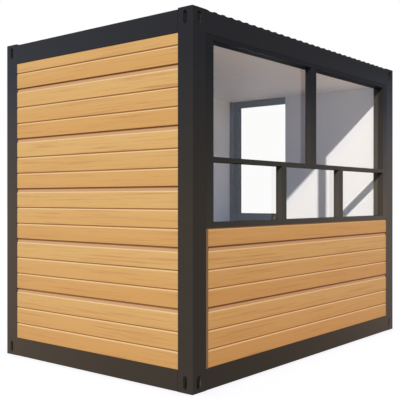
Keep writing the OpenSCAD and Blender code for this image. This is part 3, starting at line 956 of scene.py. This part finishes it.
zinc, place = placed_material("zinc_plate")
spangle = place.cells(SPANGLE_SCALE)
place.surface({
    "Base Color": place.noise(GRIME_SCALE).blend(ZINC_COLOUR, ZINC_GRIME),
    "Metallic": 1.0,
    "Roughness": spangle.between(0.34, 0.59),
    "Normal": spangle.bump(depth=0.0001, strength=0.3),
})
settle(roof_screws, zinc, "cabin", "roof_steel")


# Window ---------------------------------------------------------------------------
# A frame of welded steel bars fills the wall above the siding, painted much as the frame
# is. Its five fixed panes are bedded in black rubber gaskets.
# Painted light as on the frame: bluish on top, warmer and paler at the foot and far off
BAR_TOP = (0.0155, 0.0175, 0.0225, 1)
BAR_FOOT = (0.0365, 0.0365, 0.0320, 1)
BAR_FAR_FOOT = (0.104, 0.092, 0.078, 1)
BAR_ROUGHNESS = 0.40
BAR_SHEEN = FAR_SHEEN / 3
# Behind the glass the bars are painted paler and warmer, up to a height and most at the far
# end: painted light
INNER_LIGHT = (0.115, 0.100, 0.084, 1)
INNER_LIGHT_END = 2.75
INNER_LIGHT_FADE = 1.2
# In front of the glass the far side bar's inner edge is painted darker, though not its front
# face: painted shade
SHADED_BAR = (0.030, 0.026, 0.020, 1)
SHADED_SHARE = 0.6
FACE_DEPTH = 0.001
# The glass is clear, with a faint ripple, and what it mirrors is bluish
GLASS_COLOUR = (0.99, 0.995, 0.995, 1)
GLASS_MIRRORED = (0.46, 0.66, 1.0, 1)
GLASS_SHADOW = (0.99, 0.995, 0.99, 1)
GLASS_BENDING = 1.31
GLASS_RIPPLE_SCALE = 1.1

glass_low, glass_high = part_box("window_glass")
bar_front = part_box("window_frame")[0].y


def light_and_shade_at_glass(place, paint):
    """Paint with painted light on the bars behind the glass, and painted shade on the far bar's
    inner edge in front of it.
    """
    x, y, z = place.axes()
    far = ((x - glass_low.x) / (glass_high.x - glass_low.x)).held()
    lit_inside = far * far * far * ((INNER_LIGHT_END - z) / INNER_LIGHT_FADE).held()
    inner = y > glass_low.y
    # Painted light on the bars behind the glass
    colour = (lit_inside * inner).blend(paint, INNER_LIGHT)
    # Painted shade on the far bar's inner edge in front of the glass
    shaded = (x > glass_high.x - FACE_DEPTH) * (1 - inner) * (y - bar_front > FACE_DEPTH)
    return (shaded * SHADED_SHARE).blend(colour, SHADED_BAR)


joinery_paint = steel_paint("joinery_paint", BAR_TOP, BAR_FOOT, BAR_FAR_FOOT,
                            BAR_ROUGHNESS, BAR_SHEEN, over=light_and_shade_at_glass)
finish_nodes(joinery_paint, "window_frame")

glass, place = placed_material("clear_glass")
clear = place.node("BsdfPrincipled", inputs={
    "Base Color": GLASS_COLOUR,
    "Roughness": 0.0,
    "IOR": GLASS_BENDING,
    "Specular Tint": GLASS_MIRRORED,
    "Transmission Weight": 1.0,
    "Normal": place.noise(GLASS_RIPPLE_SCALE, detail=1.0).bump(depth=0.0004, strength=0.15),
})
# The sun and the soft light of the room pass through it unbent
path = place.node("LightPath", output="Is Shadow Ray")
lets_through = path.most(path.other("Is Diffuse Ray"))
through = place.node("BsdfTransparent", inputs={"Color": GLASS_SHADOW})
pane = place.node("MixShader", inputs={0: lets_through, 1: clear, 2: through})
place.node("OutputMaterial", inputs={"Surface": pane})
finish_nodes(glass, "window_glass")

GASKET_WIDTH = 0.0035
GASKET_THICKNESS = 0.0028
GASKET_ROUND = 0.0011
MERGE_DISTANCE = 0.00001
RUBBER_COLOUR = (0.012, 0.012, 0.013, 1)
RUBBER_BLOOM = (0.034, 0.033, 0.032, 1)
RUBBER_GRAIN_SCALE = 800.0
RUBBER_BLOOM_SCALE = 6.0
RUBBER_SHINE = 0.2


def solid_boxes(node):
    """The lowest and highest corner of each separate solid in a CAD node."""
    bpy.ops.object.select_all(action="DESELECT")
    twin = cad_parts[node].copy()
    twin.data = twin.data.copy()
    bpy.context.collection.objects.link(twin)
    twin.select_set(True)
    bpy.context.view_layer.objects.active = twin
    bpy.ops.object.mode_set(mode="EDIT")
    bpy.ops.mesh.select_all(action="SELECT")
    bpy.ops.mesh.remove_doubles(threshold=MERGE_DISTANCE)
    bpy.ops.mesh.separate(type="LOOSE")
    bpy.ops.object.mode_set(mode="OBJECT")
    boxes = []
    for part in list(bpy.context.selected_objects):
        corners = [corner.co for corner in part.data.vertices]
        boxes.append((Vector(map(min, zip(*corners))), Vector(map(max, zip(*corners)))))
        bpy.data.objects.remove(part)
    return sorted(boxes, key=lambda box: tuple(box[0]))


def ring(name, low, high, axis, width, rise):
    """A flat ring inside a rectangle across an axis, raised along that axis."""
    bpy.ops.object.select_all(action="DESELECT")
    turn = (math.pi / 2, 0, 0) if axis == "y" else (0, math.pi / 2, 0)
    bpy.ops.mesh.primitive_plane_add(size=1, location=(low + high) / 2, rotation=turn)
    made = bpy.context.object
    made.name = name
    span = high - low
    made.scale = (span.x, span.z, 1) if axis == "y" else (span.z, span.y, 1)
    bpy.ops.object.transform_apply()
    bpy.ops.object.mode_set(mode="EDIT")
    bpy.ops.mesh.select_mode(type="FACE")
    bpy.ops.mesh.select_all(action="SELECT")
    bpy.ops.mesh.inset(thickness=width)
    bpy.ops.mesh.delete(type="FACE")
    bpy.ops.mesh.select_all(action="SELECT")
    sweep((0, rise, 0) if axis == "y" else (rise, 0, 0))
    return made


def gaskets(name, node, axis):
    """A rubber strip round each pane of a node, on both of its faces."""
    strips = []
    for low, high in solid_boxes(node):
        for near, rise in ((low, -GASKET_THICKNESS), (high, GASKET_THICKNESS)):
            face_low, face_high = low.copy(), high.copy()
            setattr(face_low, axis, getattr(near, axis))
            setattr(face_high, axis, getattr(near, axis))
            strip = ring("strip", face_low, face_high, axis, GASKET_WIDTH, rise)
            round_edges(strip, GASKET_ROUND)
            strips.append(strip)
    return join(name, strips)


rubber, place = placed_material("black_rubber")
grain = place.noise(RUBBER_GRAIN_SCALE, detail=2.0)
place.surface({
    "Base Color": place.noise(RUBBER_BLOOM_SCALE).blend(RUBBER_COLOUR, RUBBER_BLOOM),
    "Roughness": grain.between(0.62, 0.82),
    "Specular IOR Level": RUBBER_SHINE,
    "Normal": grain.bump(depth=0.0001, strength=0.4),
})
settle(gaskets("window_gaskets", "window_glass", "y"), rubber, "cabin", "joinery")


# Door -----------------------------------------------------------------------------
# A half-glazed steel door hangs on three lift-off hinges beside the back corner post and
# opens outwards. Its lower part is a pressed panel, and it has a lever on each side.
# The door's paint holds the same painted light as the window's bars
door_paint = steel_paint("door_paint", BAR_TOP, BAR_FOOT, BAR_FAR_FOOT,
                         BAR_ROUGHNESS, BAR_SHEEN)
finish_nodes(door_paint, "door_frame", "door_leaf")
finish_nodes(glass, "door_glass")
settle(gaskets("door_gaskets", "door_glass", "x"), rubber, "door", "joinery")

# The lower panel's raised field, on both of its faces
FIELD_MARGIN = 0.045
FIELD_SLOPE = 0.012
FIELD_RISE = 0.004
FIELD_ROUND = 0.0015
FIELD_ANGLE = 12

panel_low, panel_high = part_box("door_kick_panel")
kick_panel = add_box("kick_panel", panel_low, panel_high)
pick_faces(kick_panel, lambda normal: abs(normal.x) > FACING)
bpy.ops.mesh.inset(thickness=FIELD_MARGIN, use_individual=True)
bpy.ops.mesh.inset(thickness=FIELD_SLOPE, depth=FIELD_RISE, use_individual=True)
bpy.ops.object.mode_set(mode="OBJECT")
round_edges(kick_panel, FIELD_ROUND, segments=3, angle=FIELD_ANGLE)
settle(kick_panel, door_paint, "door", "joinery", "door_kick_panel")

METAL_DARK = (0.50, 0.51, 0.52, 1)
METAL_LIGHT = (0.62, 0.63, 0.64, 1)
BRUSH_SCALES = (900.0, 40.0, 900.0)

metal, place = placed_material("brushed_metal")
lines = place.grain(BRUSH_SCALES, detail=2.0)
place.surface({
    "Base Color": lines.blend(METAL_DARK, METAL_LIGHT),
    "Metallic": 1.0,
    "Roughness": lines.between(0.26, 0.40),
    "Normal": lines.bump(depth=0.0001, strength=0.3),
})
finish_nodes(metal, "door_handle")

# Key escutcheons under the levers, each with a recessed plug and its keyway
KEY_DROP = 0.0425
KEY_RADIUS = 0.014
KEY_THICKNESS = 0.004
KEY_SIDES = 40
KEY_RIM = 0.0012
PLUG_RADIUS = 0.008
PLUG_SLOPE = 0.0003
PLUG_DEPTH = 0.0008
KEYWAY = Vector((0.0090, 0.0016, 0.0060))
ROSE_RADIUS = 0.026

# The leaf stands as far out of the panel on one side as on the other
inner_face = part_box("door_leaf")[0].x
outer_face = panel_low.x + panel_high.x - inner_face
low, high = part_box("door_handle")
key_y, key_z = low.y + ROSE_RADIUS, (low.z + high.z) / 2 - KEY_DROP
key_top = Vector((0, 0, KEY_THICKNESS))
keys = []
for face, tip in ((outer_face, 90), (inner_face, -90)):
    key = turned_disc("key", KEY_RADIUS, KEY_THICKNESS, KEY_SIDES, KEY_RIM)
    pick_faces(key, lambda normal: normal.z > FACING)
    bpy.ops.mesh.inset(thickness=KEY_RADIUS - KEY_RIM - PLUG_RADIUS)
    bpy.ops.mesh.inset(thickness=PLUG_SLOPE, depth=-PLUG_DEPTH)
    bpy.ops.object.mode_set(mode="OBJECT")
    cut_away(key, add_box("slit", key_top - KEYWAY / 2, key_top + KEYWAY / 2))
    place_piece(key, (face, key_y, key_z), tip=tip)
    keys.append(key)
settle(join("key_escutcheons", keys), metal, "door", "handle_metal")

# Bulb seal against the frame's stop, open along the threshold
SEAL_WIDTH = 0.008
SEAL_THICKNESS = 0.0035
SEAL_ROUND = 0.0014
SEAL_INSET = 0.003
SEAL_LOCK_INSET = 0.014
HINGE_STILE = 0.042
STOP_GAP = 0.005

leaf_low, leaf_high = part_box("door_leaf")
hinge_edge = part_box("door_glass")[1].y + HINGE_STILE
stop_face = leaf_low.x - STOP_GAP
seal_low = Vector((stop_face, leaf_low.y + SEAL_LOCK_INSET, leaf_low.z))
seal_high = Vector((stop_face, hinge_edge - SEAL_INSET, leaf_high.z - SEAL_INSET))
seal = ring("door_seal", seal_low, seal_high, "x", SEAL_WIDTH, SEAL_THICKNESS)
cut_level(leaf_low.z + 2 * SEAL_WIDTH, -1)
round_edges(seal, SEAL_ROUND, segments=3)
settle(seal, rubber, "cabin", "joinery")
